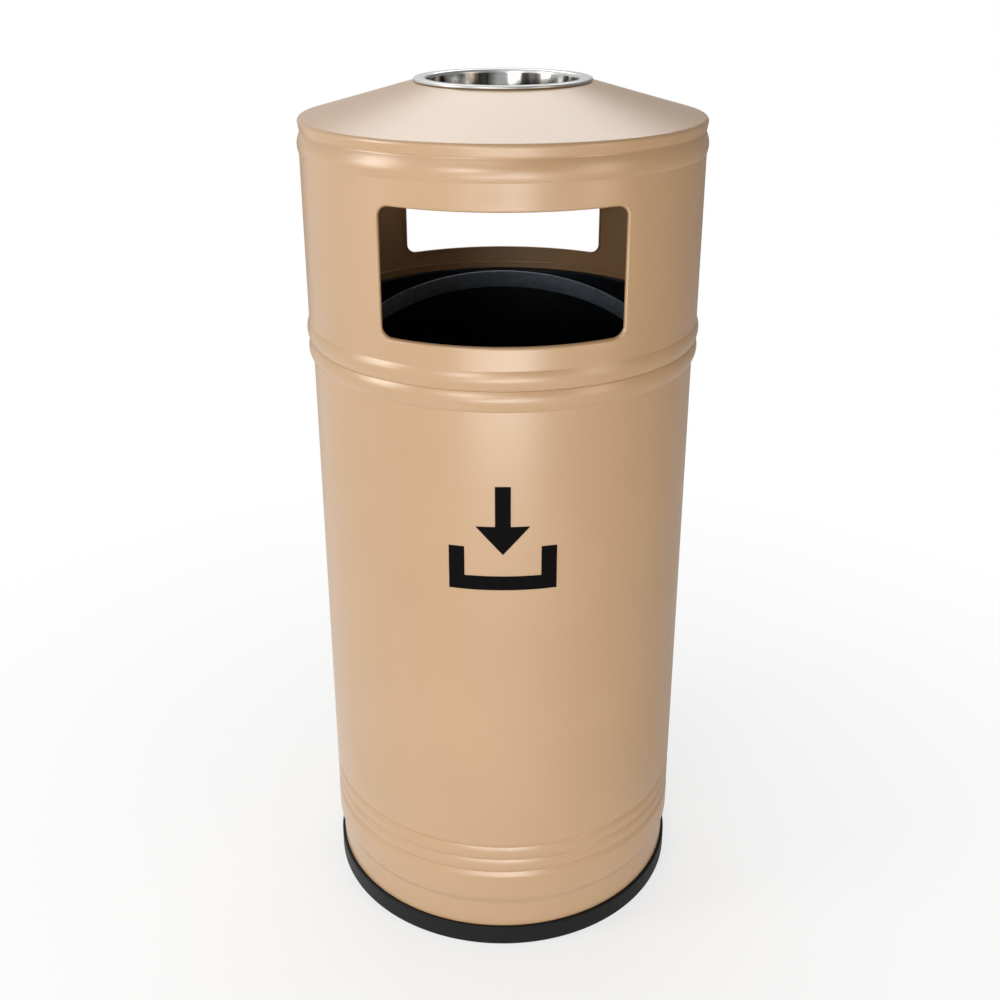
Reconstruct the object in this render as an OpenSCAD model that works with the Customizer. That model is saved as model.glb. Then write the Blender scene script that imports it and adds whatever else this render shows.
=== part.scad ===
// Litter bin with an ash bowl: a body drum, a hood that lifts off, a bucket inside and an ash bowl on top.
// Millimetres. The axis of the drum is Z, the floor is z = 0, and the front window faces -Y.

/* [Overall] */
// Height from the floor to the top of the ash bowl's flange
total_h = 900; // [700:10:1200]
// Outside diameter of the hood drum
hood_d = 400; // [330:10:520]
// How far the body wall lies inside the hood wall, on the radius
body_inset = 3; // [2:0.5:4]
// Thickness of the painted sheet of body, hood and cap
sheet_t = 1.2; // [0.8:0.1:1.6]
// Height of the hood, from its seam with the body to the top of the ash bowl's flange
hood_h = 254; // [240:1:300]

/* [Foot] */
// Height of the rubber base ring
ring_h = 24; // [18:1:36]
// How far the base ring stands out from the foot of the body
ring_proud = 3.4; // [3:0.2:8]
// Rubber under the edge of the body drum
ring_sole = 5; // [4:0.5:7]
// Width of the ring's sole inside the body drum
ring_lip = 7; // [5:1:12]
// Height of the tuck, where the wall steps in above the base ring
tuck_z = 56.5; // [45:0.5:75]
// Height over which the tuck slopes
tuck_h = 7; // [4:1:10]
// Depth of the foot inside the body wall
tuck_in = 3.4; // [1:0.2:4.6]
// How far the band between the tuck and the low beads stands out
band_out = 0.4; // [0:0.1:1.6]

/* [Base pan] */
// Thickness of the base pan
pan_t = 1.5; // [1:0.1:3]
// Height of the pan's underside above the floor
pan_z = 8; // [7.5:0.5:14]
// Height of the pan's flange above its floor
pan_flange = 22; // [16:1:36]
// Outside radius of the bend into the flange
pan_bend = 3.5; // [2:0.5:3.5]
// Number of anchor holes
anchor_n = 4; // [3:1:8]
// Diameter of an anchor hole
anchor_d = 11; // [8:1:14]
// Pitch circle of the anchor holes
anchor_pcd = 260; // [160:10:280]

/* [Beads] */
// Height of each bead of the low pair
low_bead_h = 16.4; // [12:0.2:24]
// Height at which the low pair starts
low_bead_z = 98.4; // [88:0.2:140]
// Depth of the grooves beside the low beads
low_groove = 2; // [1:0.1:2.6]
// How far the low beads stand out of their grooves
low_bead_out = 2.1; // [1:0.1:3]
// Height over which the wall runs into a groove
groove_run = 5; // [3:0.5:8]
// Height of the body's bead under the seam
seam_bead_low = 21; // [14:0.5:28]
// How far the bead under the seam stands out
seam_bead_low_out = 3.2; // [1:0.1:4]
// Height of the hood's bead above the seam
seam_bead_up = 20; // [14:0.5:24]
// How far the bead above the seam stands out
seam_bead_up_out = 2.6; // [1:0.1:3]
// How far the sheet is drawn in at the seam, from the hood wall
seam_in = 0.7; // [0.2:0.1:1.2]
// Height of the bead under the cap
top_bead_h = 21; // [14:0.5:24]
// How far the bead under the cap stands out
top_bead_out = 2.6; // [1:0.1:3]

/* [Neck] */
// Height of the body's neck above the seam
neck_h = 25; // [14:1:28]
// Gap between the neck and the edge of the hood
neck_gap = 1.1; // [0.6:0.1:2]
// Radius of the hem on the neck
hem_r = 1.5; // [1:0.1:2]

/* [Windows] */
// Width of each window, measured straight across
window_w = 225; // [150:5:250]
// Height of each window
window_h = 125; // [90:1:130]
// Height of the window sill above the seam
sill_h = 39; // [32:1:44]
// Corner radius of the windows
window_r = 10; // [6:1:30]
// Depth of the turned-in lip round a window
lip_depth = 4.5; // [3:0.5:8]
// Thickness of the lip
lip_t = 1.6; // [1:0.1:3]

/* [Cap] */
// Slope of the cap, in degrees
cap_slope = 15.8; // [10:0.2:17]
// Height of the cap's rim
rim_h = 10.5; // [8:0.5:14]
// How far the cap's rim stands out from the hood wall
rim_out = 0.3; // [0:0.1:2]
// Thickness of the cap's hemmed rim
rim_t = 2.4; // [1.6:0.1:3]
// Radius of the bend between the rim and the slope
rim_bend = 4; // [2:0.5:5]
// Depth of the hood drum's top edge below the cap's shoulder
spigot_drop = 3.6; // [3.2:0.1:5]
// Depth of the collar under the hole
collar_h = 22; // [14:1:30]

/* [Ash bowl] */
// Outside diameter of the flange
flange_d = 174.6; // [150:1:200]
// Width of the flange
flange_w = 12.5; // [10:0.5:16]
// Diameter of the rolled edge of the flange
curl_d = 3.6; // [3:0.2:5]
// Depth of the bowl inside
bowl_depth = 38; // [24:1:38]
// Thickness of the stainless sheet
bowl_t = 1; // [0.8:0.1:1.5]
// Gap between the bowl and the collar
bowl_gap = 2; // [1:0.25:3]

/* [Liner] */
// Gap between the bucket's rim and the hem that it lifts out through
liner_gap = 1; // [0.6:0.1:3]
// Thickness of the bucket's sheet
liner_t = 1; // [0.8:0.1:1.5]
// How far the bucket's rim lies below the top of the neck
liner_drop = 7.5; // [4:0.5:12]
// Outside diameter of the bucket's rolled rim
rim_roll_d = 5.6; // [4.6:0.2:7]
// Play of the wire inside the rolled rim
wire_play = 0.1; // [0.05:0.05:0.3]
// Height of the bucket's foot under its floor
liner_foot = 6; // [4:1:15]

/* [Bail] */
// Width of the flat bar that the bail is bent from
bail_w = 22; // [16:1:28]
// Thickness of the bar
bail_t = 2; // [1.5:0.5:4]
// Angle above level at which the bail leans on the back wall
bail_lean = 21.2; // [12:0.2:30]
// Gap between the leaning bail and the bucket wall
bail_gap = 0.4; // [0.3:0.1:2]
// Depth of the pivots below the rim
pivot_drop = 81; // [50:1:120]
// Diameter of the pivot rivets
pivot_d = 6; // [5:0.5:8]
// Diameter of a pivot rivet's heads
pivot_head = 13; // [10:0.5:16]
// Height of a pivot rivet's heads
pivot_head_h = 2; // [1.2:0.2:3]
// Clearance of the bail round and beside its pivots
pivot_play = 0.3; // [0.2:0.1:0.6]
// Diameter of the spacer between an ear and the bail
spacer_d = 15; // [12:0.5:18]
// Length of the spacer
spacer_l = 4.3; // [3:0.1:8]

/* [Ears] */
// Thickness of the ear plate behind a pivot
ear_t = 1.5; // [1:0.1:2.5]
// Width of an ear plate
ear_w = 54; // [46:1:70]
// Height of an ear plate
ear_h = 32; // [26:1:44]
// Distance between the two rivets of an ear plate
rivet_pitch = 36; // [30:1:50]
// Diameter of a rivet
rivet_d = 4; // [3:0.5:5]
// Diameter of a rivet's head
rivet_head = 8; // [7:0.5:9]
// Height of a rivet's head
rivet_head_h = 1.2; // [0.8:0.1:1.8]

/* [Sign] */
// Width of the sign
sign_w = 104; // [70:2:130]
// Height of the sign
sign_h = 109; // [80:1:130]
// Height of the middle of the sign above the floor
sign_z = 497; // [300:1:540]
// Width of the sign's strokes
sign_stroke = 15; // [10:1:18]
// Thickness of the vinyl
sign_t = 0.3; // [0.2:0.1:0.6]

/* [Hidden] */
$fn = 96;
steps = 12;
over = 1;
hood_r = hood_d/2;
body_r = hood_r - body_inset;
foot_r = body_r - tuck_in;
foot_in_r = foot_r - sheet_t;
seam_z = total_h - hood_h;
seam_r = hood_r - seam_in;
neck_r = seam_r - sheet_t - neck_gap;
neck_top = seam_z + neck_h;
hem_out = 0.2;
hem_x = neck_r + hem_out - hem_r;
sill_z = seam_z + sill_h;
plateau_z = total_h - curl_d;
flange_r = flange_d/2;
plateau_r = flange_r + 0.7;
cap_r = hood_r + rim_out;
shoulder_z = plateau_z - (cap_r - plateau_r)*tan(cap_slope);
rim_z = shoulder_z - rim_h;
spigot_r = cap_r - rim_t;
rim_gap = 1;
bowl_r = flange_r - flange_w;
bowl_floor = total_h - bowl_depth;
collar_in = bowl_r + bowl_t + bowl_gap;
liner_in = hem_x - hem_r - liner_gap - rim_roll_d;
liner_out = liner_in + liner_t;
liner_z = pan_z + pan_t;
liner_top = neck_top - liner_drop;
roll_r = rim_roll_d/2;
roll_x = liner_in + roll_r;
roll_z = liner_top - roll_r;
pivot_z = liner_top - pivot_drop;
rivet_a = asin(rivet_pitch/2/liner_in);
bail_out = liner_in - ear_t - spacer_l - pivot_play;
bail_in = bail_out - bail_t;
// The leaning bail meets the wall at this angle from its middle, and so the wall gives the length of its arms.
touch_a = 50;
touch_y = sqrt(pow(liner_in - bail_gap, 2) - pow(bail_out*sin(touch_a), 2)) - bail_w/2*sin(bail_lean);
arm_l = touch_y/cos(bail_lean) - bail_out*cos(touch_a);

paint = "#cfae88";
black = "#161819";
rubber = "#232525";
steel = "#b9bcbd";
zinc = "#73797d";

// Points of an arc about [x, z], from angle a0 to angle a1.
function arc(x, z, r, a0, a1, n = steps) =
    [for (i = [0:n]) let (a = a0 + (a1 - a0)*i/n) [x + r*cos(a), z + r*sin(a)]];

// Points of a bead: the wall goes from [r0, z0] up to [r1, z1] and swells by `out` on the way.
function bead(r0, z0, r1, z1, out) =
    [for (i = [0:steps]) let (t = i/steps) [r0 + (r1 - r0)*t + out*sin(180*t), z0 + (z1 - z0)*t]];

// The same points moved inwards by t and taken backwards, for the inner face of a sheet.
function inner(pts, t) = [for (i = [len(pts) - 1:-1:0]) [pts[i][0] - t, pts[i][1]]];

// Puts its children on one side of the bucket, and in front or behind: sx and sy are -1 or 1.
module at_side(sx, sy = 1) {
    mirror([sx < 0 ? 1 : 0, 0, 0]) mirror([0, sy < 0 ? 1 : 0, 0]) children();
}

module body_drum() {
    low_mid = low_bead_z + low_bead_h;
    low_top = low_mid + low_bead_h;
    low_r = body_r - low_groove;
    wall = concat(
        [[foot_r, ring_sole], [foot_r, tuck_z]],
        [[body_r + band_out, tuck_z + tuck_h], [body_r + band_out, low_bead_z - groove_run]],
        bead(low_r, low_bead_z, low_r, low_mid, low_bead_out),
        bead(low_r, low_mid, low_r, low_top, low_bead_out),
        [[body_r, low_top + groove_run]]);
    swell = bead(body_r, seam_z - seam_bead_low, seam_r, seam_z, seam_bead_low_out);
    swell_in = bead(body_r, seam_z - seam_bead_low, seam_r, seam_z - sheet_t, seam_bead_low_out);
    color(paint) rotate_extrude() {
        polygon(concat(
            wall, swell,
            [[neck_r, seam_z], [neck_r, neck_top - hem_r],
             [neck_r - sheet_t, neck_top - hem_r], [neck_r - sheet_t, seam_z - sheet_t]],
            inner(swell_in, sheet_t),
            inner(wall, sheet_t)));
        translate([hem_x, neck_top - hem_r]) circle(hem_r);
    }
}

module base_pan() {
    edge = foot_in_r - pan_bend;
    color(paint) difference() {
        rotate_extrude() polygon(concat(
            [[0, pan_z]],
            arc(edge, pan_z + pan_bend, pan_bend, -90, 0),
            [[foot_in_r, pan_z + pan_flange], [foot_in_r - pan_t, pan_z + pan_flange]],
            arc(edge, pan_z + pan_bend, pan_bend - pan_t, 0, -90),
            [[0, pan_z + pan_t]]));
        for (i = [0:anchor_n - 1]) rotate([0, 0, 45 + i*360/anchor_n])
            translate([anchor_pcd/2, 0, pan_z - over]) cylinder(d = anchor_d, h = pan_t + 2*over);
    }
}

module base_ring() {
    out_r = foot_r + ring_proud;
    in_r = foot_in_r - ring_lip;
    soft = 2.5;
    color(rubber) rotate_extrude() polygon(concat(
        [[in_r, 0]],
        arc(out_r - soft, soft, soft, -90, 0),
        arc(out_r - soft, ring_h - soft, soft, 0, 90),
        [[foot_r, ring_h], [foot_r, ring_sole], [foot_in_r, ring_sole], [foot_in_r, pan_z], [in_r, pan_z]]));
}

module hood_drum() {
    wall = concat(
        bead(seam_r, seam_z, hood_r, seam_z + seam_bead_up, seam_bead_up_out),
        bead(hood_r, rim_z - rim_gap - top_bead_h, spigot_r, rim_z - rim_gap, top_bead_out),
        [[spigot_r, shoulder_z - spigot_drop]]);
    color(paint) {
        difference() {
            rotate_extrude() polygon(concat(wall, inner(wall, sheet_t)));
            window_prism(0);
        }
        intersection() {
            difference() {
                window_prism(0);
                window_prism(-lip_t);
            }
            difference() {
                cylinder(r = hood_r, h = total_h);
                translate([0, 0, -over]) cylinder(r = hood_r - lip_depth, h = total_h + 2*over);
            }
        }
    }
}

// The window's outline as a bar through front and back, grown by `grow` all round.
module window_prism(grow) {
    w = window_w + 2*grow;
    h = window_h + 2*grow;
    r = window_r + grow;
    translate([0, hood_r + 10*over, sill_z + window_h/2]) rotate([90, 0, 0])
        linear_extrude(2*hood_r + 20*over) {
            square([w - 2*r, h], center = true);
            square([w, h - 2*r], center = true);
            for (x = [-1, 1], y = [-1, 1]) translate([x*(w/2 - r), y*(h/2 - r)]) circle(r);
        }
}

module hood_cap() {
    lean = sheet_t/cos(cap_slope);
    color(paint) rotate_extrude() polygon(concat(
        [[spigot_r, rim_z], [cap_r, rim_z]],
        arc(cap_r - rim_bend, shoulder_z - rim_bend*(1 - tan(cap_slope)), rim_bend, 0, 90 - cap_slope),
        [[plateau_r, plateau_z], [collar_in + sheet_t, plateau_z],
         [collar_in + sheet_t, plateau_z - sheet_t], [plateau_r, plateau_z - lean],
         [spigot_r - rim_bend, shoulder_z + (cap_r - spigot_r + rim_bend)*tan(cap_slope) - lean],
         [spigot_r, shoulder_z - rim_bend/2 - sheet_t/2]]));
}

module cap_collar() {
    color(paint) rotate_extrude() translate([collar_in, plateau_z - collar_h]) square([sheet_t, collar_h]);
}

module ash_bowl() {
    lip = 3;
    taper = 2.5;
    fillet = 8;
    foot = bowl_r - taper - fillet;
    roll = curl_d/2;
    roll_end = -180 - asin((roll - bowl_t)/roll);
    color(steel) rotate_extrude() polygon(concat(
        arc(flange_r - roll, total_h - roll, roll, 90, roll_end, 2*steps),
        arc(bowl_r + lip, total_h - lip, lip - bowl_t, 90, 180),
        arc(foot, bowl_floor + fillet, fillet + bowl_t, 0, -90),
        [[0, bowl_floor - bowl_t], [0, bowl_floor]],
        arc(foot, bowl_floor + fillet, fillet, -90, 0),
        arc(bowl_r + lip, total_h - lip, lip, 180, 90)));
}

module liner_drum() {
    color(black) difference() {
        rotate_extrude() difference() {
            union() {
                translate([liner_in, liner_z]) square([liner_t, roll_z - liner_z]);
                translate([roll_x, roll_z]) circle(roll_r);
            }
            translate([roll_x, roll_z]) circle(roll_r - liner_t);
        }
        for (sx = [-1, 1]) at_side(sx) {
            pivot_bar();
            for (sy = [-1, 1]) at_side(1, sy) rivet_bar();
        }
    }
}

module liner_floor() {
    top = liner_z + liner_foot;
    color(black) rotate_extrude() polygon([
        [0, top], [liner_in, top], [liner_in, liner_z], [liner_in - liner_t, liner_z],
        [liner_in - liner_t, top - liner_t], [0, top - liner_t]]);
}

module liner_rim_wire() {
    color(steel) rotate_extrude() translate([roll_x, roll_z]) circle(roll_r - liner_t - wire_play);
}

// The bar that a rivet's shank fills, through an ear plate and the bucket wall.
module rivet_bar() {
    rotate([0, 0, rivet_a]) translate([liner_in - ear_t - over, 0, pivot_z]) rotate([0, 90, 0])
        cylinder(d = rivet_d, h = ear_t + liner_t + 2*over);
}

// The bar that a pivot rivet's shank fills, from inside the bail out through the bucket wall.
module pivot_bar() {
    translate([bail_in - over, 0, pivot_z]) rotate([0, 90, 0])
        cylinder(d = pivot_d, h = liner_out - bail_in + 2*over);
}

// The bucket's round as a bar with finer sides, for small pieces that end on its curve.
module round_bar(r) {
    cylinder(r = r, h = total_h, $fn = 4*$fn);
}

// A carrying handle of flat bar: a half ring with two short arms. It leans on the back wall, as it falls.
module bail_handle() {
    color(zinc) translate([0, 0, pivot_z]) rotate([bail_lean, 0, 0]) {
        translate([0, arm_l, 0]) rotate_extrude(angle = 180)
            translate([bail_in, -bail_w/2]) square([bail_t, bail_w]);
        for (x = [bail_in, -bail_out]) translate([x, 0, 0]) rotate([90, 0, 90]) linear_extrude(bail_t)
            difference() {
                union() {
                    circle(bail_w/2);
                    translate([0, -bail_w/2]) square([arm_l, bail_w]);
                }
                circle(pivot_d/2 + pivot_play);
            }
    }
}

module pivot_spacer(sx) {
    color(steel) at_side(sx) difference() {
        intersection() {
            translate([bail_out + pivot_play, 0, pivot_z]) rotate([0, 90, 0]) cylinder(d = spacer_d, h = 2*spacer_l);
            round_bar(liner_in - ear_t);
        }
        pivot_bar();
    }
}

module pivot_rivet(sx) {
    head_x = bail_in - pivot_play - pivot_head_h;
    color(steel) at_side(sx) {
        translate([head_x, 0, pivot_z]) rotate([0, 90, 0]) cylinder(d = pivot_head, h = pivot_head_h);
        translate([head_x + pivot_head_h/2, 0, pivot_z]) rotate([0, 90, 0])
            cylinder(d = pivot_d, h = liner_out - head_x);
        difference() {
            translate([liner_out - pivot_head_h, 0, pivot_z]) rotate([0, 90, 0])
                cylinder(d = pivot_head, h = 2*pivot_head_h);
            round_bar(liner_out);
        }
    }
}

module ear(sx) {
    a = asin(ear_w/2/liner_in);
    color(zinc) at_side(sx) difference() {
        rotate([0, 0, -a]) rotate_extrude(angle = 2*a)
            translate([liner_in - ear_t, pivot_z - ear_h/2]) square([ear_t, ear_h]);
        pivot_bar();
        for (sy = [-1, 1]) at_side(1, sy) rivet_bar();
    }
}

module rivet(sx, sy) {
    color(steel) at_side(sx, sy) {
        rotate([0, 0, rivet_a]) translate([liner_in - ear_t - rivet_head_h/2, 0, pivot_z]) rotate([0, 90, 0])
            cylinder(d = rivet_d, h = ear_t + liner_t + rivet_head_h);
        intersection() {
            rotate([0, 0, rivet_a]) translate([liner_in - ear_t - rivet_head_h, 0, pivot_z]) rotate([0, 90, 0])
                cylinder(d = rivet_head, h = 2*rivet_head_h);
            cylinder(r = liner_in - ear_t, h = total_h);
        }
        difference() {
            rotate([0, 0, rivet_a]) translate([liner_out - rivet_head_h, 0, pivot_z]) rotate([0, 90, 0])
                cylinder(d = rivet_head, h = 2*rivet_head_h);
            cylinder(r = liner_out, h = total_h);
        }
    }
}

// A generic deposit sign: an arrow that points down into a tray.
module deposit_sign() {
    tray_h = sign_h*0.42;
    shaft_h = sign_h*0.38;
    head_h = sign_h*0.27;
    head_w = sign_w*0.5;
    color(black) intersection() {
        translate([0, 0, sign_z - sign_h/2]) rotate([90, 0, 0]) linear_extrude(body_r + over) {
            translate([-sign_w/2, 0]) square([sign_w, sign_stroke]);
            for (s = [-1, 1]) translate([s*(sign_w - sign_stroke)/2 - sign_stroke/2, 0])
                square([sign_stroke, tray_h]);
            translate([-sign_stroke/2, sign_h - shaft_h - over]) square([sign_stroke, shaft_h + over]);
            polygon([[0, sign_h - shaft_h - head_h], [head_w/2, sign_h - shaft_h],
                     [-head_w/2, sign_h - shaft_h]]);
        }
        difference() {
            cylinder(r = body_r + sign_t, h = total_h);
            translate([0, 0, -over]) cylinder(r = body_r, h = total_h + 2*over);
        }
    }
}

body_drum();
base_pan();
base_ring();
deposit_sign();
hood_drum();
hood_cap();
cap_collar();
ash_bowl();
liner_drum();
liner_floor();
liner_rim_wire();
bail_handle();
pivot_rivet(-1);  // pivot_rivet_left
pivot_rivet(1);  // pivot_rivet_right
pivot_spacer(-1);  // pivot_spacer_left
pivot_spacer(1);  // pivot_spacer_right
ear(-1);  // ear_left
ear(1);  // ear_right
rivet(-1, -1);  // rivet_left_front
rivet(-1, 1);  // rivet_left_back
rivet(1, -1);  // rivet_right_front
rivet(1, 1);  // rivet_right_back
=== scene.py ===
# %% [markdown]
# # A litter bin with an ash bowl, dressed for a studio picture
# The bin is a tall drum of painted sheet steel. A hood with two windows stands on the body, a low cone
# closes it, and a stainless ash bowl drops into the cone. Inside stands a black bucket with a bail handle.
# The drawing of the bin is loaded first. Nothing of it is moved: a piece is either given a finish as it
# is, or a finer piece is modelled in the same place and stands for it.

# %% Load the drawing
import math
import bpy
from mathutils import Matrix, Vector


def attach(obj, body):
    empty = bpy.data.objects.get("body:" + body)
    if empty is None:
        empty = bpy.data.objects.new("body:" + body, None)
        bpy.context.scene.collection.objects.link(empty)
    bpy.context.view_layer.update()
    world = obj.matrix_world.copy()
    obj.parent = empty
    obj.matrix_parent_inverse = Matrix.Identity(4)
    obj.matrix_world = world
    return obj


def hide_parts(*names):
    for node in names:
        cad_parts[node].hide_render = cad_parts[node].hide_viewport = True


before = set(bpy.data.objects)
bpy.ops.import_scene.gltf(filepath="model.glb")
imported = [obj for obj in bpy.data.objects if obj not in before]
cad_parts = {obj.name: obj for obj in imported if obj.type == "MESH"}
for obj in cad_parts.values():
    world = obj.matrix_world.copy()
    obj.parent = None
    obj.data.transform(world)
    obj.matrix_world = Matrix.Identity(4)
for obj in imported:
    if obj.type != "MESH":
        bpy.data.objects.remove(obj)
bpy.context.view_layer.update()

# %% [markdown]
# ## Sizes
# The drawing is in millimetres and Blender works in metres. The sizes below are the ones on the drawing,
# so every piece is placed by its own numbers and nothing has to be fitted by eye. Vertices that lie closer
# than SAME_PLACE are merged.

# %% Sizes on the drawing, in millimetres
MM = 0.001
SHEET = 1.2
BODY_R, FOOT_R, BAND_R, GROOVE_R, HOOD_R, SEAM_R = 197.0, 193.6, 197.4, 195.0, 200.0, 199.3
FOOT_Z, SEAM_Z, NECK_TOP = 5.0, 646.0, 671.0
SILL_Z, WINDOW_W, WINDOW_H, WINDOW_R = 685.0, 225.0, 125.0, 10.0
TOP_Z, PLATEAU_Z, PLATEAU_R, CAP_R, SPIGOT_R = 900.0, 896.4, 88.0, 200.3, 197.9
CAP_SLOPE = 15.8
SHOULDER_Z = PLATEAU_Z - (CAP_R - PLATEAU_R)*math.tan(math.radians(CAP_SLOPE))
RIM_DROP = 10.5
RIM_Z = SHOULDER_Z - RIM_DROP
LINER_IN, LINER_OUT, LINER_TOP, PIVOT_Z = 187.6, 188.6, 663.5, 582.5
STEPS = 192
SAME_PLACE = 0.002
print(f"cap shoulder at {SHOULDER_Z:.1f} mm, rim at {RIM_Z:.1f} mm")

# %% [markdown]
# ## Camera
# The picture is taken from a little above the bin and close to it, so the drum narrows towards the floor.
# The camera stands 1.26 m in front of the axis at 1.03 m, looks down by 22.6 degrees and has a lens of
# 45 mm. It could be turned about until the view looks right. Here its numbers were worked out instead, from
# places on the front of the bin and the widths of its outline. A small shift centres the bin in the frame.

# %% Place the camera
def place_camera(away, height, look_down, lens, shift_x, shift_y):
    data = bpy.data.cameras.new("camera")
    camera = bpy.data.objects.new("camera", data)
    bpy.context.scene.collection.objects.link(camera)
    camera.location = (0, -away, height)
    camera.rotation_euler = (math.radians(90 - look_down), 0, 0)
    data.sensor_width = 36
    data.lens = lens
    data.shift_x, data.shift_y = shift_x, shift_y
    data.clip_start, data.clip_end = 0.05, 60
    bpy.context.scene.camera = camera
    return camera


camera = place_camera(away=1.2588, height=1.0250, look_down=22.56, lens=44.90,
                      shift_x=-0.0029, shift_y=-0.045)
print("camera at", [round(v, 3) for v in camera.location])

# %% [markdown]
# ## Making round sheet pieces
# Nearly every piece of the bin is round: beads, hems and rims run all the way round. Such a piece could be
# a cylinder with its rings scaled by hand. The surer way is to draw the section as a chain of points, one
# extrude after another from a single vertex, and to spin it, because each bend is then a plain number.
# A wall drawn on both of its faces gives a closed shell with its true thickness. Shading is smooth up to
# 35 degrees, so that a soft bend is round and a cut edge stays crisp.

# %% Start a piece with nothing selected
SHARP_ANGLE = math.radians(35)


def clear_selection():
    if bpy.context.object and bpy.context.object.mode != "OBJECT":
        bpy.ops.object.mode_set(mode="OBJECT")
    bpy.ops.object.select_all(action="DESELECT")


def work_on(piece):
    clear_selection()
    piece.select_set(True)
    bpy.context.view_layer.objects.active = piece


def apply_modifier(piece, kind, **settings):
    work_on(piece)
    modifier = piece.modifiers.new(kind.lower(), kind)
    for key, value in settings.items():
        setattr(modifier, key, value)
    bpy.ops.object.modifier_apply(modifier=modifier.name)


def even_out_shading(piece):
    apply_modifier(piece, "WEIGHTED_NORMAL", mode="FACE_AREA", weight=80, keep_sharp=True)


def place_section(name, points):
    clear_selection()
    bpy.ops.mesh.primitive_plane_add(size=2*MM, location=(0, 0, 0))
    piece = bpy.context.object
    piece.name = piece.data.name = name
    bpy.ops.object.mode_set(mode="EDIT")
    bpy.ops.mesh.select_mode(type="VERT")
    bpy.ops.mesh.select_all(action="SELECT")
    bpy.ops.mesh.merge(type="CENTER")
    x, z = points[0]
    bpy.ops.transform.translate(value=(x*MM, 0, z*MM))
    for (xa, za), (xb, zb) in zip(points, points[1:]):
        step = ((xb - xa)*MM, 0, (zb - za)*MM)
        bpy.ops.mesh.extrude_vertices_move(TRANSFORM_OT_translate={"value": step})
    return piece


def turn(name, points, closed=True):
    piece = place_section(name, points + points[:1] if closed else points)
    bpy.ops.mesh.select_all(action="SELECT")
    bpy.ops.mesh.remove_doubles(threshold=SAME_PLACE*MM)
    bpy.ops.mesh.spin(steps=STEPS, angle=2*math.pi, center=(0, 0, 0), axis=(0, 0, 1))
    bpy.ops.mesh.select_all(action="SELECT")
    bpy.ops.mesh.remove_doubles(threshold=SAME_PLACE*MM)
    bpy.ops.mesh.normals_make_consistent(inside=False)
    bpy.ops.object.mode_set(mode="OBJECT")
    bpy.ops.object.shade_smooth_by_angle(angle=SHARP_ANGLE)
    if closed:
        even_out_shading(piece)
    print(f"{name}: {len(piece.data.polygons)} faces")
    return piece


# %% [markdown]
# A section is put together from arcs, which are hems and rolled edges, and from beads. A rolled bead swells
# out of the sheet like half a sine wave. The power of 0.85 makes its flanks a little steeper than that, so
# that the creases between two beads stay dark.

# %% Arcs, beads and wall thickness for the sections
BEAD_POWER = 0.85


def arc(x, z, r, start, end, n):
    angles = [math.radians(start + (end - start)*i/n) for i in range(n + 1)]
    return [(x + r*math.cos(a), z + r*math.sin(a)) for a in angles]


def bead(r0, z0, r1, z1, out, n=24):
    parts = [i/n for i in range(n + 1)]
    swells = [out*abs(math.sin(math.pi*t))**BEAD_POWER for t in parts]
    return [(r0 + (r1 - r0)*t + swell, z0 + (z1 - z0)*t) for t, swell in zip(parts, swells)]


def inner_face(points):
    return [(x - SHEET, z) for x, z in reversed(points)]


# %% [markdown]
# ## Body drum
# One rolled sheet: a tuck above the foot, two beads, a long plain wall, a bead under the seam, and then
# the neck that the hood stands over, with a small hem at its top. The beads could be rings laid on a
# cylinder, but they are rolled out of the sheet itself, and one section lets a highlight run on from bead
# to wall. The tuck is a soft S, because the sheet is drawn in there over some millimetres and has no edge.

# %% Model the body drum
def ease(r0, z0, r1, z1, n=12):
    parts = [i/n for i in range(n + 1)]
    return [(r0 + (r1 - r0)*(1 - math.cos(math.pi*t))/2, z0 + (z1 - z0)*t) for t in parts]


TUCK_Z, TUCK_TOP, BAND_TOP, WALL_Z = 52.5, 67.0, 91.6, 138.0
BEAD_Z, BEAD_H, BEAD_OUT = 98.4, 16.4, 2.1
SWELL_Z, SWELL_OUT, HEM_R = 625.0, 3.2, 1.5
BEAD_MID, BEAD_TOP = BEAD_Z + BEAD_H, BEAD_Z + 2*BEAD_H

wall = [(FOOT_R, FOOT_Z), (FOOT_R, 30.0)] + ease(FOOT_R, TUCK_Z, BAND_R, TUCK_TOP)
wall += [(BAND_R, 80.0), (BAND_R, BAND_TOP), (BAND_R - 0.15, BAND_TOP + 1.2)]
wall += [(BAND_R - 0.6, BAND_TOP + 2.6), (GROOVE_R + 0.4, BEAD_Z - 1.1)]
wall += bead(GROOVE_R, BEAD_Z, GROOVE_R, BEAD_MID, BEAD_OUT)
wall += bead(GROOVE_R, BEAD_MID, GROOVE_R, BEAD_TOP, BEAD_OUT)[1:]
wall += [(GROOVE_R + 0.4, BEAD_TOP + 1.0), (BODY_R - 0.45, WALL_Z - 2.8), (BODY_R - 0.1, WALL_Z - 1.6)]
wall += [(BODY_R, WALL_Z)] + [(BODY_R, z) for z in range(160, 620, 40)]
swell = bead(BODY_R, SWELL_Z, SEAM_R, SEAM_Z, SWELL_OUT)
swell_in = inner_face(bead(BODY_R, SWELL_Z, SEAM_R, SEAM_Z - SHEET, SWELL_OUT))
ledge = [(SEAM_R - 0.6, SEAM_Z + 0.25), (BODY_R + 0.4, SEAM_Z + 0.25), (BODY_R, SEAM_Z + 0.8)]
hem = arc(BODY_R - 1.3, NECK_TOP - HEM_R, HEM_R, -30, 274, 28)
section = wall + swell + ledge + hem + [(BODY_R - SHEET, SEAM_Z - SHEET)] + swell_in + inner_face(wall)
body_drum = turn("body_drum_skin", section)

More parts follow.
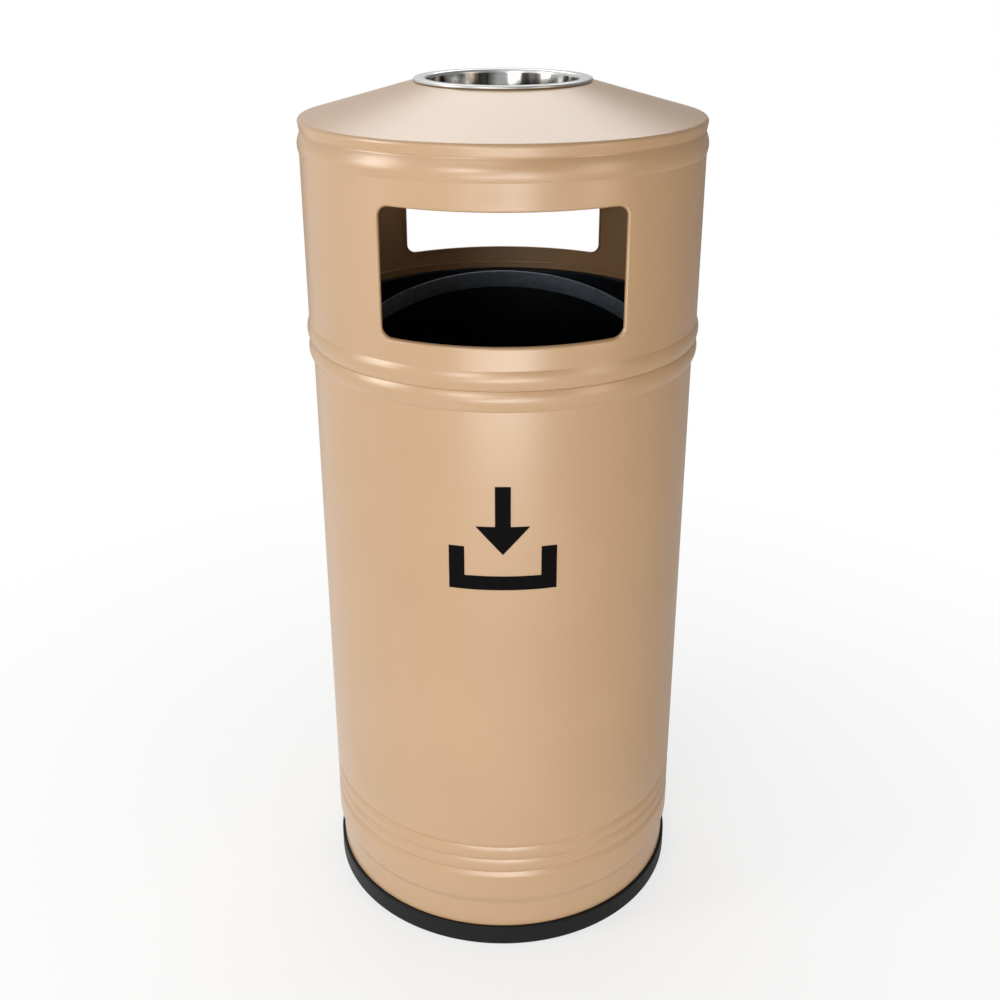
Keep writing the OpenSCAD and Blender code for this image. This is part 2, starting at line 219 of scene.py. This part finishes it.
# %% [markdown]
# ## Hood drum
# The hood is rolled like the body. Its two windows are cut with one bar, pushed through front and back,
# and the sheet round each window is turned inwards as a lip. So the outer face is made first, then cut,
# then the edge of each cut is extruded, rounded at the fold, and the sheet gets its thickness last.

# %% Turn the outer face of the hood
HOOD_FOOT, LOW_BEAD_TOP, HOOD_BEAD_OUT, HOOD_BEAD_H = SEAM_Z + 0.3, 666.0, 2.6, 21.0
hood = bead(SEAM_R, HOOD_FOOT, HOOD_R, LOW_BEAD_TOP, HOOD_BEAD_OUT)
hood += [(HOOD_R, z) for z in (676.0, 700.0, 730.0, 760.0, 790.0, 820.0)]
hood += bead(HOOD_R, RIM_Z - 1.0 - HOOD_BEAD_H, SPIGOT_R, RIM_Z - 1.0, HOOD_BEAD_OUT)
hood += [(SPIGOT_R, SHOULDER_Z - 3.6)]
hood_drum = turn("hood_drum_skin", hood, closed=False)


# %% Cut the windows with a rounded bar
def rounded_bar(name, width, height, radius, z, length):
    clear_selection()
    bpy.ops.mesh.primitive_plane_add(size=1, location=(0, length/2*MM, z*MM), rotation=(math.pi/2, 0, 0))
    bar = bpy.context.object
    bar.name = name
    bpy.ops.transform.resize(value=(width*MM, 1, height*MM))
    bpy.ops.object.transform_apply(location=True, rotation=True, scale=True)
    bpy.ops.object.mode_set(mode="EDIT")
    bpy.ops.mesh.select_mode(type="VERT")
    bpy.ops.mesh.select_all(action="SELECT")
    bpy.ops.mesh.bevel(affect="VERTICES", offset=radius*MM, segments=12)
    bpy.ops.mesh.select_all(action="SELECT")
    bpy.ops.mesh.extrude_region_move(TRANSFORM_OT_translate={"value": (0, -length*MM, 0)})
    bpy.ops.mesh.select_all(action="SELECT")
    bpy.ops.mesh.normals_make_consistent(inside=False)
    bpy.ops.object.mode_set(mode="OBJECT")
    return bar


WINDOW_Z, BAR_LENGTH = SILL_Z + WINDOW_H/2, 500
bar = rounded_bar("window_bar", WINDOW_W, WINDOW_H, WINDOW_R, WINDOW_Z, BAR_LENGTH)
apply_modifier(hood_drum, "BOOLEAN", operation="DIFFERENCE", object=bar, solver="FAST")
bpy.data.objects.remove(bar)


def select_faces(piece, test):
    work_on(piece)
    bpy.ops.object.mode_set(mode="EDIT")
    bpy.ops.mesh.select_mode(type="FACE")
    bpy.ops.mesh.select_all(action="DESELECT")
    bpy.ops.object.mode_set(mode="OBJECT")
    for face in piece.data.polygons:
        face.select = test(face.center)
    bpy.ops.object.mode_set(mode="EDIT")


INSIDE_THE_WALL = 190.0
select_faces(hood_drum, lambda centre: centre.xy.length < INSIDE_THE_WALL*MM)
bpy.ops.mesh.delete(type="FACE")
bpy.ops.object.mode_set(mode="OBJECT")
print("hood after the cut:", len(hood_drum.data.polygons), "faces")


# %% Turn the lips inwards, round the folds and thicken the sheet
def select_open_edges(piece, test):
    bpy.ops.object.mode_set(mode="EDIT")
    bpy.ops.mesh.select_mode(type="EDGE")
    bpy.ops.mesh.select_all(action="DESELECT")
    bpy.ops.object.mode_set(mode="OBJECT")
    points = piece.data.vertices
    uses = {}
    for face in piece.data.polygons:
        for key in face.edge_keys:
            uses[key] = uses.get(key, 0) + 1
    chosen = 0
    for edge in piece.data.edges:
        a, b = (points[i].co for i in edge.vertices)
        edge.select = uses.get(edge.key, 0) == 1 and test((a + b)/2)
        chosen += edge.select
    bpy.ops.object.mode_set(mode="EDIT")
    return chosen


FOLD, LIP, REACH = 2.4, 4.5, 0.6*WINDOW_H
turns = [math.radians(angle) for angle in (22.5, 45, 67.5, 90)]
steps = [(FOLD*math.sin(a), FOLD*(1 - math.cos(a))) for a in turns] + [(FOLD, LIP)]
work_on(hood_drum)
for side in (-1, 1):
    found = select_open_edges(hood_drum, lambda p: side*p.y > 0 and abs(p.z - WINDOW_Z*MM) < REACH*MM)
    drawn_in, depth = 0, 0
    for closer, deeper in steps:
        inwards = (0, -side*(deeper - depth)*MM, 0)
        bpy.ops.mesh.extrude_region_move(TRANSFORM_OT_translate={"value": inwards})
        grow = [(size - 2*closer)/(size - 2*drawn_in) for size in (WINDOW_W, WINDOW_H)]
        bpy.ops.transform.resize(value=(grow[0], 1, grow[1]), center_override=(0, 0, WINDOW_Z*MM))
        drawn_in, depth = closer, deeper
    print("window edge", side, "has", found, "edges")
bpy.ops.mesh.select_all(action="SELECT")
bpy.ops.mesh.normals_make_consistent(inside=False)
bpy.ops.object.mode_set(mode="OBJECT")
apply_modifier(hood_drum, "SOLIDIFY", thickness=SHEET*MM, offset=-1, use_even_offset=True)
bpy.ops.object.shade_smooth_by_angle(angle=SHARP_ANGLE)
even_out_shading(hood_drum)

# %% [markdown]
# ## Cap
# A pressed cone with its rim turned down and hemmed. A cone primitive has its angle but none of its edges,
# and they are what catches the light. A spun section gives the soft bend at the shoulder, the thick hemmed
# edge below it and the small bend where the cone meets the flat round the hole. The rim also leans in by a
# millimetre or so, which the drawing leaves out.

# %% Model the cap
SHOULDER_BEND, RIM_LEAN, RIM_EDGE, HEM_EDGE, HOLE_R = 4.0, 1.2, 0.6, 0.5, 79.0
slope = math.tan(math.radians(CAP_SLOPE))
upright_thickness = SHEET/math.cos(math.radians(CAP_SLOPE))


def cone_z(r):
    return PLATEAU_Z - (r - PLATEAU_R)*slope


bend_z = SHOULDER_Z - SHOULDER_BEND*(1 - slope)
inside_z = SHOULDER_Z + (CAP_R - SPIGOT_R + SHOULDER_BEND)*slope - upright_thickness
cap = arc(CAP_R - RIM_LEAN - RIM_EDGE, RIM_Z + RIM_EDGE, RIM_EDGE, -90, -5, 6)
cap += arc(CAP_R - SHOULDER_BEND, bend_z, SHOULDER_BEND, 0, 90 - CAP_SLOPE, 12)
cap += [(r, cone_z(r)) for r in (150.0, 110.0, PLATEAU_R + 1.2)]
cap += [(PLATEAU_R - 1.2, PLATEAU_Z), (HOLE_R, PLATEAU_Z), (HOLE_R, PLATEAU_Z - SHEET)]
cap += [(PLATEAU_R, PLATEAU_Z - upright_thickness)]
cap += [(SPIGOT_R - SHOULDER_BEND, inside_z), (SPIGOT_R, SHOULDER_Z - 2.6)]
cap += arc(SPIGOT_R + HEM_EDGE, RIM_Z + HEM_EDGE, HEM_EDGE, 180, 270, 6)
hood_cap = turn("cap_cone", cap)

# %% [markdown]
# ## Ash bowl
# A deep-drawn stainless bowl with a flat flange. The flange's edge is rolled under, which shows as a bright
# round line. It could be a cylinder with an inset floor and a bevel, but its wall leans a little and its
# bends differ, so it is one more section: small bends at the mouth and the foot carry the highlights.

# %% Model the ash bowl
FLANGE_R, BOWL_R, BOWL_T, BOWL_FLOOR = 87.3, 74.8, 1.0, 862.0
ROLLED_EDGE, MOUTH_BEND, FOOT_BEND, FLAT_R = 1.8, 3.0, 8.0, 30.0
foot_x, foot_z = BOWL_R - FOOT_BEND - 2.5, BOWL_FLOOR + FOOT_BEND
mouth_x, mouth_z = BOWL_R + MOUTH_BEND, TOP_Z - MOUTH_BEND
bowl = arc(FLANGE_R - ROLLED_EDGE, TOP_Z - ROLLED_EDGE, ROLLED_EDGE, 90, -206, 24)
bowl += arc(mouth_x, mouth_z, MOUTH_BEND - BOWL_T, 90, 180, 8)
bowl += arc(foot_x, foot_z, FOOT_BEND + BOWL_T, 0, -90, 10)
bowl += [(FLAT_R, BOWL_FLOOR - BOWL_T), (0, BOWL_FLOOR - BOWL_T), (0, BOWL_FLOOR), (FLAT_R, BOWL_FLOOR)]
bowl += arc(foot_x, foot_z, FOOT_BEND, -90, 0, 10)
bowl += arc(mouth_x, mouth_z, MOUTH_BEND, 180, 90, 10)
ash_bowl = turn("ash_bowl_drawn", bowl)

# %% [markdown]
# ## Base ring
# A rubber channel pushed onto the foot of the body. It holds the sheet off wet ground, and its two outer
# edges are rounded, as a moulded strip's are. A bevelled cylinder would look the same from outside, but the
# spun section also has the channel that the sheet stands in.

# %% Model the base ring
RING_R, RING_H, RING_EDGE, PAN_R, PAN_Z, RING_LIP = FOOT_R + 3.4, 24.0, 2.5, FOOT_R - SHEET, 8.0, 7.0
ring = arc(RING_R - RING_EDGE, RING_EDGE, RING_EDGE, -90, 0, 8)
ring += arc(RING_R - RING_EDGE, RING_H - RING_EDGE, RING_EDGE, 0, 90, 8)
ring += [(FOOT_R, RING_H), (FOOT_R, FOOT_Z), (PAN_R, FOOT_Z), (PAN_R, PAN_Z), (PAN_R - RING_LIP, PAN_Z)]
ring += [(PAN_R - RING_LIP, 0.6), (PAN_R - RING_LIP + 0.6, 0)]
base_ring = turn("base_ring_rubber", ring)

# %% [markdown]
# ## Bucket
# The bucket's wall ends in a rim that is rolled outwards round a wire. A ring laid on the rim would look
# like a roll from above. Drawn as part of the wall, it also has its thickness and its open end, where the
# edge of the sheet comes back towards the wall, and the wire fits inside.

# %% Model the bucket's wall
ROLL_R, BUCKET_FOOT = 2.8, 9.5
ROLL_X, ROLL_Z = LINER_IN + ROLL_R, LINER_TOP - ROLL_R
bucket = [(LINER_IN, BUCKET_FOOT), (LINER_IN, 15.5)] + [(LINER_IN, z) for z in range(60, 660, 60)]
bucket += arc(ROLL_X, ROLL_Z, ROLL_R, 180, -125, 28)
bucket += arc(ROLL_X, ROLL_Z, ROLL_R - 1.0, -125, 180, 24)
bucket += [(LINER_OUT, 600.0), (LINER_OUT, 300.0), (LINER_OUT, BUCKET_FOOT)]
liner_drum = turn("bucket_wall", bucket)

# %% [markdown]
# ## Bail handle
# Flat bar bent to a half ring with two short arms. It could follow a curve, but a swept bar is awkward to
# round at its ends. So the bar's cut end is drawn as a small plane and spun by half a turn, and both ends
# are then extruded to the pivots. The finished handle is leant back onto the wall.

# %% Model the bail handle
BAIL_IN, BAIL_OUT, BAIL_W, BAIL_LEAN, ARM = 179.5, 181.5, 22.0, 21.2, 13.516
bar_middle = ((BAIL_IN + BAIL_OUT)/2*MM, ARM*MM, 0)
clear_selection()
bpy.ops.mesh.primitive_plane_add(size=1, location=bar_middle, rotation=(math.pi/2, 0, 0))
bail = bpy.context.object
bail.name = bail.data.name = "bail_bar"
bpy.ops.transform.resize(value=((BAIL_OUT - BAIL_IN)*MM, 1, BAIL_W*MM))
bpy.ops.object.transform_apply(location=True, rotation=True, scale=True)
bpy.ops.object.mode_set(mode="EDIT")
bpy.ops.mesh.select_all(action="SELECT")
bpy.ops.mesh.spin(steps=STEPS//2, angle=math.pi, center=(0, ARM*MM, 0), axis=(0, 0, -1))
bpy.ops.mesh.select_all(action="SELECT")
bpy.ops.mesh.remove_doubles(threshold=SAME_PLACE*MM)
bpy.ops.mesh.normals_make_consistent(inside=False)
bpy.ops.object.mode_set(mode="OBJECT")
print("bail after the spin:", len(bail.data.polygons), "faces")
select_faces(bail, lambda centre: abs(centre.y - ARM*MM) < SAME_PLACE*MM)
bpy.ops.mesh.extrude_region_move(TRANSFORM_OT_translate={"value": (0, -ARM*MM, 0)})
bpy.ops.mesh.extrude_region_move(TRANSFORM_OT_translate={"value": (0, -BAIL_W/2*MM, 0)})
bpy.ops.object.mode_set(mode="OBJECT")

# %% [markdown]
# The arms end in a half round, as punched bar does. The two edges across each end are bevelled by nearly
# half the bar's width, and a small bevel then takes the sharpness off all the long edges.

# %% Round the ends, soften the edges and lean the handle back
END_ROUND, EDGE_ROUND = 10.9, 0.45


def corner_edge(piece, edge):
    a, b = (piece.data.vertices[i].co for i in edge.vertices)
    return abs((a - b).normalized().x) > 0.9 and (a.y + b.y)/2 < -10*MM


bpy.ops.object.mode_set(mode="EDIT")
bpy.ops.mesh.select_mode(type="EDGE")
bpy.ops.mesh.select_all(action="DESELECT")
bpy.ops.object.mode_set(mode="OBJECT")
for edge in bail.data.edges:
    edge.select = corner_edge(bail, edge)
bpy.ops.object.mode_set(mode="EDIT")
bpy.ops.mesh.bevel(affect="EDGES", offset=END_ROUND*MM, segments=10)
bpy.ops.object.mode_set(mode="OBJECT")
apply_modifier(bail, "BEVEL", width=EDGE_ROUND*MM, segments=3, limit_method="ANGLE",
               angle_limit=math.radians(50))
bpy.ops.transform.rotate(value=-math.radians(BAIL_LEAN), orient_axis="X", center_override=(0, 0, 0))
bpy.ops.transform.translate(value=(0, 0, PIVOT_Z*MM))
bpy.ops.object.transform_apply(location=True, rotation=True, scale=True)

# %% [markdown]
# The handle turns on two rivets of 6 mm, so each arm has a hole with a little play. One long drill, laid
# across the bucket, makes both.

# %% Drill the two pivot holes
PIVOT_HOLE_R, DRILL_LENGTH = 3.3, 400
clear_selection()
bpy.ops.mesh.primitive_cylinder_add(vertices=48, radius=PIVOT_HOLE_R*MM, depth=DRILL_LENGTH*MM,
                                    location=(0, 0, PIVOT_Z*MM), rotation=(0, math.pi/2, 0))
drill = bpy.context.object
apply_modifier(bail, "BOOLEAN", operation="DIFFERENCE", object=drill, solver="EXACT")
bpy.data.objects.remove(drill)
work_on(bail)
bpy.ops.object.shade_smooth_by_angle(angle=SHARP_ANGLE)
corners = [bail.matrix_world @ v.co for v in bail.data.vertices]
print("bail y:", round(min(c.y for c in corners), 4), round(max(c.y for c in corners), 4),
      "z:", round(min(c.z for c in corners), 4), round(max(c.z for c in corners), 4))

# %% [markdown]
# ## Finishes
# Every finish is a small node tree. A hex colour is written as it should look, and one function turns it
# into the linear values that Blender works with. Patterns read Object coordinates, which are metres on the
# bin itself, so the size of a pattern can be given in millimetres. Most of a noise lies between 0.3 and
# 0.7, and a Map Range node stretches that part over the values that are wanted.

# %% Helpers for node materials
NOISE_RANGE = {"From Min": 0.3, "From Max": 0.7}


def colour(code):
    parts = [int(code[i:i + 2], 16)/255 for i in (1, 3, 5)]
    linear = [v/12.92 if v <= 0.04045 else ((v + 0.055)/1.055)**2.4 for v in parts]
    return (*linear, 1)


def per_metre(size):
    return 1/(size*MM)


def add_node(tree, kind, inputs=None, **settings):
    node = tree.nodes.new(kind)
    for key, value in settings.items():
        setattr(node, key, value)
    for key, value in (inputs or {}).items():
        if hasattr(value, "links"):
            tree.links.new(value, node.inputs[key])
        else:
            node.inputs[key].default_value = value
    return node


def new_finish(name, inputs):
    material = bpy.data.materials.new(name)
    material.use_nodes = True
    tree = material.node_tree
    shader = tree.nodes["Principled BSDF"]
    for key, value in inputs.items():
        shader.inputs[key].default_value = value
    place = add_node(tree, "ShaderNodeTexCoord").outputs["Object"]
    return material, tree, shader, place


# %% [markdown]
# The outside is powder coat: dry paint that is sprayed on sheet steel and baked until it flows. One plain
# colour would look like plastic. A real coat is a little cloudy and has a faint orange peel, so a slow
# noise moves the beige, and a fine one moves the roughness and lifts the surface. Its satin film gives the
# broad white sheen down the drum, and for that it needs a stronger specular than bare plastic has.
# Real orange peel has ripples of about 2 mm, too fine to show from here, so it is drawn at nearly 4 mm.

# %% Satin powder coat
CLOUD, PEEL = 143.0, 3.85


def satin_paint(name):
    material, tree, shader, place = new_finish(name, {"Metallic": 0, "IOR": 1.6, "Specular IOR Level": 1.0})
    slow = {"Vector": place, "Scale": per_metre(CLOUD), "Detail": 3}
    cloud = add_node(tree, "ShaderNodeTexNoise", slow).outputs[0]
    shade = add_node(tree, "ShaderNodeMapRange", {"Value": cloud, **NOISE_RANGE}).outputs[0]
    beige = {0: shade, 6: colour("#c8a074"), 7: colour("#cda579")}
    base = add_node(tree, "ShaderNodeMix", beige, data_type="RGBA").outputs[2]
    tree.links.new(base, shader.inputs["Base Color"])
    fine = {"Vector": place, "Scale": per_metre(PEEL), "Detail": 2}
    peel = add_node(tree, "ShaderNodeTexNoise", fine).outputs[0]
    satin = {"Value": peel, **NOISE_RANGE, "To Min": 0.29, "To Max": 0.34}
    rough = add_node(tree, "ShaderNodeMapRange", satin).outputs[0]
    tree.links.new(rough, shader.inputs["Roughness"])
    bump = add_node(tree, "ShaderNodeBump", {"Height": peel, "Strength": 0.03, "Distance": 0.4*MM})
    tree.links.new(bump.outputs[0], shader.inputs["Normal"])
    return material


paint = satin_paint("satin_powder_coat")
print("peel per metre:", round(per_metre(PEEL)))


# %% [markdown]
# The ash bowl is stainless steel, drawn deep and then brushed. Such metal shows the room around it as
# upright bands, dark against pale. They could be left to the mirror of the room, but this studio is plain.
# So the dark bands are a painted reflection: a noise that is stretched upwards darkens the wall's colour,
# and it fades out towards the bowl's floor, where bands would turn into blots. Real draw marks are under
# half a millimetre wide and too fine to show; the painted bands are about 24 mm wide. The flat flange is
# rubbed more than the wall, so it is rougher, and it has none of the painted dark bands, so it stays pale,
# down to 3 or 4 mm below the top.

# %% Stainless steel with a painted reflection
REFLECTION_BAND_WIDE, REFLECTION_BAND_LONG = 23.8, 667.0
REFLECTION_FROM, REFLECTION_FULL = 3.0, 12.0
FLANGE_FROM, FLANGE_FULL = 4.0, 3.0


def steel_with_painted_reflection(name):
    material, tree, shader, place = new_finish(name, {"Metallic": 1})
    stretch = (per_metre(REFLECTION_BAND_WIDE), per_metre(REFLECTION_BAND_WIDE), per_metre(REFLECTION_BAND_LONG))
    upright = add_node(tree, "ShaderNodeMapping", {"Vector": place, "Scale": stretch}).outputs[0]
    noise = add_node(tree, "ShaderNodeTexNoise", {"Vector": upright, "Scale": 1, "Detail": 3}).outputs[0]
    # The dark bands are a painted reflection of a room, stretched upwards on the wall.
    bands = {"Value": noise, "From Min": 0.4, "From Max": 0.6, "To Min": 1, "To Max": 0}
    dark = add_node(tree, "ShaderNodeMapRange", bands).outputs[0]
    height = add_node(tree, "ShaderNodeSeparateXYZ", {0: place}).outputs[2]
    above_floor = {"From Min": (BOWL_FLOOR + REFLECTION_FROM)*MM, "From Max": (BOWL_FLOOR + REFLECTION_FULL)*MM}
    reflection_on_wall = add_node(tree, "ShaderNodeMapRange", {"Value": height, **above_floor}).outputs[0]
    depth = add_node(tree, "ShaderNodeMath", {0: dark, 1: reflection_on_wall}, operation="MULTIPLY").outputs[0]
    # The pale tint is the steel's own colour; the dark tint is the painted reflection.
    steel = {0: depth, 6: colour("#d0cfcc"), 7: colour("#4c4845")}
    wall = add_node(tree, "ShaderNodeMix", steel, data_type="RGBA").outputs[2]
    # The flange is left without the painted dark bands.
    near_top = {"From Min": (TOP_Z - FLANGE_FROM)*MM, "From Max": (TOP_Z - FLANGE_FULL)*MM}
    on_flange = add_node(tree, "ShaderNodeMapRange", {"Value": height, **near_top}).outputs[0]
    whole = {0: on_flange, 6: wall, 7: colour("#d3d3d1")}
    tint = add_node(tree, "ShaderNodeMix", whole, data_type="RGBA").outputs[2]
    tree.links.new(tint, shader.inputs["Base Color"])
    rub = {"Value": on_flange, "To Min": 0.12, "To Max": 0.3}
    rough = add_node(tree, "ShaderNodeMapRange", rub).outputs[0]
    tree.links.new(rough, shader.inputs["Roughness"])
    return material


stainless = steel_with_painted_reflection("brushed_stainless")
print("flange finish starts at", TOP_Z - FLANGE_FROM, "mm")


# %% [markdown]
# The other finishes differ in colour, gloss and grain alone, so one function makes them all.
# - Black rubber is moulded and dull. Its skin is close to smooth, so the grain is drawn at 3 mm to show.
# - Black enamel is baked on the bucket. It is a bluish black with a soft gloss that takes up the pale room,
#   and the waves it sets in are 5 to 10 mm wide.
# - Black vinyl is a thin matt film with hardly any gloss. Its grain is drawn at 5 mm, or none would show.
# - Dull zinc is the skin of galvanised strip. Its spangle is 5 to 10 mm wide, and age has taken most of its
#   shine, so to the eye it is only partly a metal and looks grey-blue.
# - Bright zinc is plated on wire and rivets. Its grain is drawn at 5 mm too.

# %% Plain finishes for rubber, enamel, vinyl, zinc and wire
def plain_finish(name, low, high, rough, grain, bump, metal=0, gloss=0.5):
    material, tree, shader, place = new_finish(name, {"Metallic": metal, "Specular IOR Level": gloss})
    skin = {"Vector": place, "Scale": per_metre(grain), "Detail": 4}
    noise = add_node(tree, "ShaderNodeTexNoise", skin).outputs[0]
    shade = add_node(tree, "ShaderNodeMapRange", {"Value": noise, **NOISE_RANGE}).outputs[0]
    tints = {0: shade, 6: colour(low), 7: colour(high)}
    base = add_node(tree, "ShaderNodeMix", tints, data_type="RGBA").outputs[2]
    tree.links.new(base, shader.inputs["Base Color"])
    limits = {"Value": noise, **NOISE_RANGE, "To Min": rough[0], "To Max": rough[1]}
    tree.links.new(add_node(tree, "ShaderNodeMapRange", limits).outputs[0], shader.inputs["Roughness"])
    lift = add_node(tree, "ShaderNodeBump", {"Height": noise, "Strength": bump, "Distance": 0.5*MM})
    tree.links.new(lift.outputs[0], shader.inputs["Normal"])
    return material


rubber = plain_finish("black_rubber", "#0d0e0e", "#121414", (0.5, 0.62), grain=3.33, bump=0.2, gloss=0.2)
enamel = plain_finish("black_enamel", "#10151a", "#161c22", (0.34, 0.46), grain=8.33, bump=0.08, gloss=0.3)
vinyl = plain_finish("black_vinyl", "#080707", "#0c0a09", (0.6, 0.7), grain=5, bump=0.05, gloss=0.06)
zinc = plain_finish("dull_zinc", "#8797a8", "#9dabba", (0.45, 0.6), grain=6.67, bump=0.1, metal=0.2)
wire = plain_finish("bright_zinc", "#9a9d9f", "#b4b7b8", (0.25, 0.4), grain=5, bump=0.05, metal=1)
print("finishes:", len(bpy.data.materials))

# %% [markdown]
# ## Putting the pieces into the drawing
# Each modelled piece stands for a piece of the drawing and rides on the same moving body. The pieces that
# were drawn well enough, and those that nobody sees, stay as they are and only get a finish.

# %% Give each piece its finish, its body and its place in the drawing
def finish_piece(piece, material, body, slot, *nodes):
    piece.data.materials.clear()
    piece.data.materials.append(material)
    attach(piece, body)
    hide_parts(*nodes)


finish_piece(body_drum, paint, "base", "paint", "body_drum")
finish_piece(hood_drum, paint, "hood", "paint", "hood_drum")
finish_piece(hood_cap, paint, "hood", "paint", "hood_cap")
finish_piece(ash_bowl, stainless, "ash", "stainless", "ash_bowl")
finish_piece(base_ring, rubber, "base", "base_rubber", "base_ring")
finish_piece(liner_drum, enamel, "liner", "liner_black", "liner_drum")
finish_piece(bail, zinc, "bail", "bail_zinc", "bail_handle")


# %% Finish the pieces that stay as they are drawn
def dress(node, material):
    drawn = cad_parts[node]
    if not drawn.data.materials:
        drawn.data.materials.append(material)
    for place in drawn.material_slots:
        place.link = "OBJECT"
        place.material = material


wire_nodes = [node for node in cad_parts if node.startswith(("rivet", "pivot", "liner_rim"))]
for node in ("base_pan", "cap_collar"):
    dress(node, paint)
for node in ("liner_floor", "ear_left", "ear_right"):
    dress(node, enamel)
for node in wire_nodes:
    dress(node, wire)
dress("deposit_sign", vinyl)
print("pieces of wire and rivets:", len(wire_nodes))

# %% [markdown]
# ## Studio
# The background is white, and the bin has a soft shadow. A floor that is lit to white would need so much
# light that the paint would burn out. So the floor glows by itself for the camera, and near the bin it
# lets a part of the lit grey floor through, which holds the shadow. Light Path tells who is looking: the
# camera, or a mirror in the paint and the steel. On the left the mirrored floor is white too, which gives
# the beads their sheen, and towards the right it fades, because the paint is darker on that side.

# %% What the camera and what a mirror sees
def seen_share(tree, camera_share, glossy_share):
    ray = add_node(tree, "ShaderNodeLightPath").outputs
    by_camera = {0: ray["Is Camera Ray"], 1: camera_share}
    by_mirror = {0: ray["Is Glossy Ray"], 1: glossy_share}
    direct = add_node(tree, "ShaderNodeMath", by_camera, operation="MULTIPLY").outputs[0]
    mirrored = add_node(tree, "ShaderNodeMath", by_mirror, operation="MULTIPLY").outputs[0]
    return add_node(tree, "ShaderNodeMath", {0: direct, 1: mirrored}, operation="ADD").outputs[0]


# %% Floor
FLOOR_SIZE, SHADOW_FROM, SHADOW_TO = 30, 0.25, 1.1
RIGHT_AND_BACK = (0.8, 0.6, 0)

clear_selection()
bpy.ops.mesh.primitive_plane_add(size=FLOOR_SIZE, location=(0, 0, 0))
floor = bpy.context.object
floor.name = "floor"
white = bpy.data.materials.new("white_floor")
white.use_nodes = True
tree = white.node_tree
shader = tree.nodes["Principled BSDF"]
shader.inputs["Base Color"].default_value = colour("#e7e7e7")
shader.inputs["Roughness"].default_value = 0.9
place = add_node(tree, "ShaderNodeTexCoord").outputs["Object"]
from_bin = add_node(tree, "ShaderNodeVectorMath", {0: place}, operation="LENGTH").outputs["Value"]
outwards = {"Value": from_bin, "From Min": SHADOW_FROM, "From Max": SHADOW_TO}
unlit = add_node(tree, "ShaderNodeMapRange", {**outwards, "To Min": 0.62, "To Max": 1.0}).outputs[0]
strength = add_node(tree, "ShaderNodeMapRange", {**outwards, "To Min": 1.12, "To Max": 1.0}).outputs[0]
glow = add_node(tree, "ShaderNodeEmission", {"Strength": strength})
along = {0: place, 1: RIGHT_AND_BACK}
away_right = add_node(tree, "ShaderNodeVectorMath", along, operation="DOT_PRODUCT").outputs["Value"]
fading = {"Value": away_right, "From Min": -0.3, "From Max": 0.3, "To Min": 1.0, "To Max": 0.05}
mirror_share = add_node(tree, "ShaderNodeMapRange", fading).outputs[0]
mix = {0: seen_share(tree, unlit, mirror_share), 1: shader.outputs[0], 2: glow.outputs[0]}
seen = add_node(tree, "ShaderNodeMixShader", mix)
tree.links.new(seen.outputs[0], tree.nodes["Material Output"].inputs[0])
floor.data.materials.append(white)
print("shadow fades out at", SHADOW_TO, "m from the axis")

# %% [markdown]
# The world is what lies beyond the floor. To the camera it is plain white, and it lights the bin weakly
# and a little cool, as a room does. In mirrors it is bright on the left and fades to the right.

# %% World
ROOM_LIGHT = 0.26

world = bpy.data.worlds.new("studio")
bpy.context.scene.world = world
world.use_nodes = True
tree = world.node_tree
room = tree.nodes["Background"]
room.inputs[0].default_value = colour("#f9fcff")
room.inputs[1].default_value = ROOM_LIGHT
sky = add_node(tree, "ShaderNodeBackground", {0: colour("#ffffff"), 1: 1.0})
heading = add_node(tree, "ShaderNodeTexCoord").outputs["Generated"]
sideways = add_node(tree, "ShaderNodeSeparateXYZ", {0: heading}).outputs[0]
fading = {"Value": sideways, "From Min": -0.6, "From Max": 0.5, "To Min": 0.8, "To Max": 0.0}
left_share = add_node(tree, "ShaderNodeMapRange", fading).outputs[0]
mix = {0: seen_share(tree, 1.0, left_share), 1: room.outputs[0], 2: sky.outputs[0]}
seen = add_node(tree, "ShaderNodeMixShader", mix)
tree.links.new(seen.outputs[0], tree.nodes["World Output"].inputs[0])
print("room light:", ROOM_LIGHT)

# %% [markdown]
# A drum looks round when one side is brighter than the other and the edges fall off. So the strongest lamp
# in front stands at the left, a weaker and warmer one at the right, and small ones fill the front and the
# foot. The lamp above and behind lights the cone of the cap. All of them are large and soft, and each
# looks at the axis of the bin, at the height that "aim" gives.

# %% Lamps
def soft_lamp(name, place, aim, size, power, tint="#ffffff"):
    data = bpy.data.lights.new(name, "AREA")
    data.shape = "RECTANGLE"
    data.size, data.size_y = size
    data.energy = power
    data.color = colour(tint)[:3]
    lamp = bpy.data.objects.new(name, data)
    bpy.context.scene.collection.objects.link(lamp)
    lamp.location = place
    lamp.visible_camera = False
    lamp.rotation_euler = (Vector((0, 0, aim)) - Vector(place)).to_track_quat("-Z", "Y").to_euler()


soft_lamp("key", (-0.6, -1.9, 2.3), aim=0.55, size=(1.6, 0.7), power=5, tint="#fffdfa")
soft_lamp("front_strip", (0.30, -2.6, 0.5), aim=0.6, size=(0.35, 0.9), power=3.5)
soft_lamp("front_left", (-0.85, -2.4, 1.1), aim=0.65, size=(0.9, 0.5), power=9)
soft_lamp("front_low", (0.0, -1.6, 0.25), aim=0.1, size=(1.1, 0.3), power=4.5)
soft_lamp("left", (-2.1, -0.75, 1.3), aim=0.6, size=(0.7, 1.3), power=16.5, tint="#fffcf7")
soft_lamp("right_front", (1.7, -1.4, 0.9), aim=0.5, size=(0.8, 1.4), power=6.5, tint="#ffecd6")
soft_lamp("back_top", (0.0, 1.6, 2.4), aim=0.8, size=(2.2, 1.0), power=21)
print("lamps:", [lamp.name for lamp in bpy.data.lights])

# %% [markdown]
# ## View transform
# Colours are shown as they are written, so the view transform is the plain one.

# %% Set the view transform
scene = bpy.context.scene
scene.view_settings.view_transform = "Standard"
